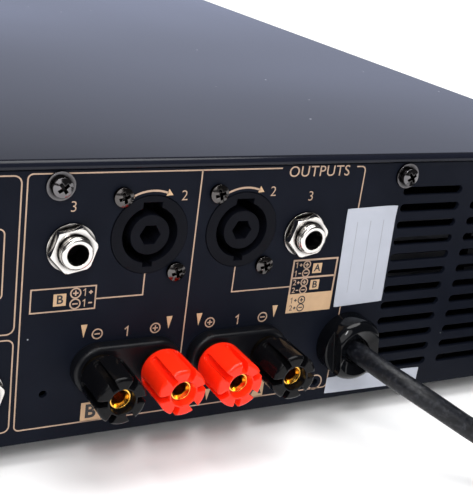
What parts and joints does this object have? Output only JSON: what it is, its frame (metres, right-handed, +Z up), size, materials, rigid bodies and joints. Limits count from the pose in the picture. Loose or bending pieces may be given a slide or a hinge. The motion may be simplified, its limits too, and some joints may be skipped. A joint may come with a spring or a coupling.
{
  "type": "power amplifier",
  "caption": "Two-unit rack power amplifier: sheet-metal case, slotted vents, speaker sockets, binding posts, jacks, mains cord, gain knobs and power rocker.",
  "frame": {"origin": "under the middle of the case, on the plane of the feet", "axes": "+X to the right seen from the front, +Y towards the connector panel, +Z up"},
  "size_m": [0.5399, 0.5891, 0.0958],
  "materials": {
    "panel_black": "satin powder coat",
    "cover_paint": "satin paint",
    "front_black": "satin anodised",
    "tray_black": "satin paint",
    "foot_rubber": "matte",
    "bright_nickel": "polished nickel plate",
    "dark_nickel": "black nickel plate",
    "zinc_steel": "zinc plate",
    "socket_black": "satin moulding",
    "housing_black": "matte moulding",
    "gland_black": "glossy nylon",
    "cap_black": "glossy moulding",
    "cap_red": "glossy moulding",
    "gold": "gold plate",
    "cord_black": "satin sheath",
    "switch_grey": "matte",
    "rocker_red": "glossy",
    "knob_black": "satin",
    "lens_clear": "clear diffused",
    "winding_tape": "varnished wrap",
    "sink_alloy": "plain extruded",
    "board_green": "solder mask"
  },
  "bodies": {
    "chassis": {"chassis_tray": "tray_black", "top_cover": "cover_paint", "rear_panel": "panel_black", "front_panel": "front_black", "feet": "foot_rubber", "feet_screws": "zinc_steel", "toroid_clamp": "zinc_steel", "fan_screws": "zinc_steel", "gain_pots": "zinc_steel", "jack_barrels": "bright_nickel", "jack_nuts": "bright_nickel", "jack_washers": "bright_nickel", "plug_pins": "bright_nickel", "connector_screws": "dark_nickel", "front_screws": "dark_nickel", "cover_screws": "dark_nickel", "speakon_socket_a": "socket_black", "speakon_socket_b": "socket_black", "xlr_socket_a": "socket_black", "xlr_socket_b": "socket_black", "post_base_a": "socket_black", "post_base_b": "socket_black", "speakon_contacts": "gold", "post_studs": "gold", "post_nuts": "gold", "jack_bodies": "housing_black", "mode_switch_body": "housing_black", "power_switch_body": "housing_black", "fan_frame": "housing_black", "transistors": "housing_black", "capacitors": "housing_black", "plug_body": "housing_black", "cord_tie": "housing_black", "gland_body": "gland_black", "gland_nut": "gland_black", "gland_locknut": "gland_black", "power_cord": "cord_black", "power_cord_coil": "cord_black", "led_lenses": "lens_clear", "toroid": "winding_tape", "heatsinks": "sink_alloy", "amp_board": "board_green", "input_board": "board_green"},
    "post_b_black_travel": {"post_washer_b_black": "gold"},
    "post_b_red_travel": {"post_washer_b_red": "gold"},
    "post_a_red_travel": {"post_washer_a_red": "gold"},
    "post_a_black_travel": {"post_washer_a_black": "gold"},
    "post_b_black_cap": {"post_cap_b_black": "cap_black"},
    "post_b_red_cap": {"post_cap_b_red": "cap_red"},
    "post_a_red_cap": {"post_cap_a_red": "cap_red"},
    "post_a_black_cap": {"post_cap_a_black": "cap_black"},
    "gain_a": {"gain_knob_a": "knob_black", "pot_shaft_a": "zinc_steel"},
    "gain_b": {"gain_knob_b": "knob_black", "pot_shaft_b": "zinc_steel"},
    "rocker": {"power_rocker": "rocker_red"},
    "mode_slider": {"mode_switch_slider": "switch_grey"},
    "latch_a": {"xlr_latch_a": "bright_nickel"},
    "latch_b": {"xlr_latch_b": "bright_nickel"},
    "fan_wheel": {"fan_rotor": "housing_black"}
  },
  "joints": [
    {"name": "post_b_black_slide", "type": "slide", "parent": "chassis", "child": "post_b_black_travel", "axis": [0, 1, 0], "range_m": [0, 0.005]},
    {"name": "post_b_black_turn", "type": "hinge", "parent": "post_b_black_travel", "child": "post_b_black_cap", "pos_m": [-0.022, 0.212, 0.0313], "axis": [0, 1, 0], "range_deg": [0, 1800]},
    {"name": "post_b_red_slide", "type": "slide", "parent": "chassis", "child": "post_b_red_travel", "axis": [0, 1, 0], "range_m": [0, 0.005]},
    {"name": "post_b_red_turn", "type": "hinge", "parent": "post_b_red_travel", "child": "post_b_red_cap", "pos_m": [-0.041, 0.212, 0.0313], "axis": [0, 1, 0], "range_deg": [0, 1800]},
    {"name": "post_a_red_slide", "type": "slide", "parent": "chassis", "child": "post_a_red_travel", "axis": [0, 1, 0], "range_m": [0, 0.005]},
    {"name": "post_a_red_turn", "type": "hinge", "parent": "post_a_red_travel", "child": "post_a_red_cap", "pos_m": [-0.06, 0.212, 0.0313], "axis": [0, 1, 0], "range_deg": [0, 1800]},
    {"name": "post_a_black_slide", "type": "slide", "parent": "chassis", "child": "post_a_black_travel", "axis": [0, 1, 0], "range_m": [0, 0.005]},
    {"name": "post_a_black_turn", "type": "hinge", "parent": "post_a_black_travel", "child": "post_a_black_cap", "pos_m": [-0.079, 0.212, 0.0313], "axis": [0, 1, 0], "range_deg": [0, 1800]},
    {"name": "gain_a_turn", "type": "hinge", "parent": "chassis", "child": "gain_a", "pos_m": [0.088, -0.208, 0.052], "axis": [0, 1, 0], "range_deg": [-150, 150]},
    {"name": "gain_b_turn", "type": "hinge", "parent": "chassis", "child": "gain_b", "pos_m": [0.14, -0.208, 0.052], "axis": [0, 1, 0], "range_deg": [-150, 150]},
    {"name": "power_rock", "type": "hinge", "parent": "chassis", "child": "rocker", "pos_m": [0.192, -0.205, 0.052], "axis": [1, 0, 0], "range_deg": [0, 16]},
    {"name": "mode_slide", "type": "slide", "parent": "chassis", "child": "mode_slider", "axis": [1, 0, 0], "range_m": [-0.0038, 0.0038]},
    {"name": "latch_a_press", "type": "slide", "parent": "chassis", "child": "latch_a", "axis": [0, -1, 0], "range_m": [0, 0.0015], "stiffness_N_per_m": 600},
    {"name": "latch_b_press", "type": "slide", "parent": "chassis", "child": "latch_b", "axis": [0, -1, 0], "range_m": [0, 0.0015], "stiffness_N_per_m": 600},
    {"name": "fan_spin", "type": "hinge", "parent": "chassis", "child": "fan_wheel", "pos_m": [-0.17, 0.026, 0.0492], "axis": [0, 1, 0], "continuous": true}
  ],
  "couplings": [
    {"joint": "post_b_black_turn", "follows": "post_b_black_slide", "rad_per_m": 6283.2},
    {"joint": "post_b_red_turn", "follows": "post_b_red_slide", "rad_per_m": 6283.2},
    {"joint": "post_a_red_turn", "follows": "post_a_red_slide", "rad_per_m": 6283.2},
    {"joint": "post_a_black_turn", "follows": "post_a_black_slide", "rad_per_m": 6283.2}
  ]
}
